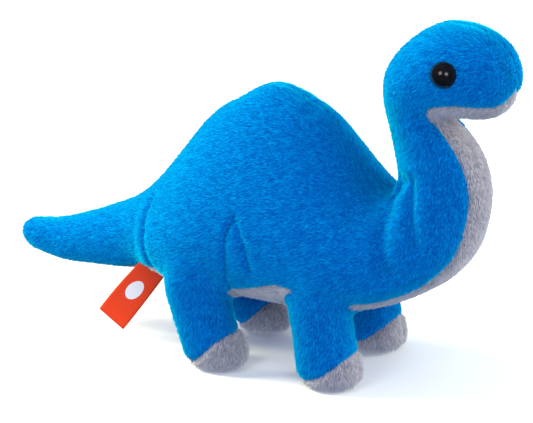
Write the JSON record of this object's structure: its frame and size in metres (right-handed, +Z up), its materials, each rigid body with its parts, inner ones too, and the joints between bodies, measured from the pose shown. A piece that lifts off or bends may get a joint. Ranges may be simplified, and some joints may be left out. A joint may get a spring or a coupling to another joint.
{
  "type": "stuffed dinosaur",
  "caption": "Soft stuffed long-necked dinosaur in short-pile plush, standing on stubby legs, with round safety eyes and a woven tag under the tail.",
  "frame": {"origin": "on the ground, under the middle of the whole toy's box", "axes": "+X from the tail to the snout, +Y to the animal's left, +Z up"},
  "size_m": [0.168, 0.056, 0.1139],
  "materials": {
    "blue_plush": "short-pile knitted polyester plush, bright blue",
    "grey_plush": "short-pile knitted polyester plush, lavender grey",
    "stuffing": "loose polyester fibre filling, white",
    "eye_plastic": "polished black moulded plastic",
    "washer_plastic": "plain moulded white plastic",
    "tag_ribbon": "tightly woven orange-red satin ribbon"
  },
  "bodies": {
    "trunk": {"trunk_panel_right": "blue_plush", "trunk_panel_left": "blue_plush", "belly_gusset": "grey_plush", "trunk_stuffing": "stuffing"},
    "neck": {"neck_panel_right": "blue_plush", "neck_panel_left": "blue_plush", "neck_gusset": "grey_plush", "neck_stuffing": "stuffing"},
    "head": {"head_panel_right": "blue_plush", "head_panel_left": "blue_plush", "chin_gusset": "grey_plush", "head_stuffing": "stuffing", "eye_right": "eye_plastic", "eye_left": "eye_plastic", "eye_washer_right": "washer_plastic", "eye_washer_left": "washer_plastic"},
    "tail": {"tail_panel_right": "blue_plush", "tail_panel_left": "blue_plush", "tail_gusset": "grey_plush", "tail_stuffing": "stuffing"},
    "tag": {"tag": "tag_ribbon"},
    "front_right_leg": {"front_right_leg_outer_panel": "blue_plush", "front_right_leg_inner_panel": "blue_plush", "front_right_toe_cap": "grey_plush", "front_right_sole": "grey_plush", "front_right_leg_stuffing": "stuffing"},
    "front_left_leg": {"front_left_leg_outer_panel": "blue_plush", "front_left_leg_inner_panel": "blue_plush", "front_left_toe_cap": "grey_plush", "front_left_sole": "grey_plush", "front_left_leg_stuffing": "stuffing"},
    "rear_right_leg": {"rear_right_leg_outer_panel": "blue_plush", "rear_right_leg_inner_panel": "blue_plush", "rear_right_toe_cap": "grey_plush", "rear_right_sole": "grey_plush", "rear_right_leg_stuffing": "stuffing"},
    "rear_left_leg": {"rear_left_leg_outer_panel": "blue_plush", "rear_left_leg_inner_panel": "blue_plush", "rear_left_toe_cap": "grey_plush", "rear_left_sole": "grey_plush", "rear_left_leg_stuffing": "stuffing"}
  },
  "joints": [
    {"name": "neck_nod", "type": "hinge", "parent": "trunk", "child": "neck", "pos_m": [0.06125, 0, 0.0675], "axis": [0, 1, 0], "range_deg": [-10, 10], "stiffness_Nm_per_rad": 0.15},
    {"name": "head_turn", "type": "hinge", "parent": "neck", "child": "head", "pos_m": [0.05275, 0, 0.086], "axis": [0.3861, 0, 0.9224], "range_deg": [-20, 20], "stiffness_Nm_per_rad": 0.08},
    {"name": "tail_wag", "type": "hinge", "parent": "trunk", "child": "tail", "pos_m": [-0.0385, 0, 0.035], "axis": [0, 0, 1], "range_deg": [-15, 15], "stiffness_Nm_per_rad": 0.08},
    {"name": "tag_flap", "type": "hinge", "parent": "trunk", "child": "tag", "pos_m": [-0.03, -0.0075, 0.0226], "axis": [1, 0, 0], "range_deg": [-45, 15], "stiffness_Nm_per_rad": 0.0004},
    {"name": "front_right_hip", "type": "hinge", "parent": "trunk", "child": "front_right_leg", "pos_m": [0.0295, -0.0176, 0.034], "axis": [0, 1, 0], "range_deg": [-10, 10], "stiffness_Nm_per_rad": 0.1},
    {"name": "front_left_hip", "type": "hinge", "parent": "trunk", "child": "front_left_leg", "pos_m": [0.0295, 0.0176, 0.034], "axis": [0, 1, 0], "range_deg": [-10, 10], "stiffness_Nm_per_rad": 0.1},
    {"name": "rear_right_hip", "type": "hinge", "parent": "trunk", "child": "rear_right_leg", "pos_m": [-0.012, -0.0176, 0.034], "axis": [0, 1, 0], "range_deg": [-10, 10], "stiffness_Nm_per_rad": 0.1},
    {"name": "rear_left_hip", "type": "hinge", "parent": "trunk", "child": "rear_left_leg", "pos_m": [-0.012, 0.0176, 0.034], "axis": [0, 1, 0], "range_deg": [-10, 10], "stiffness_Nm_per_rad": 0.1}
  ]
}
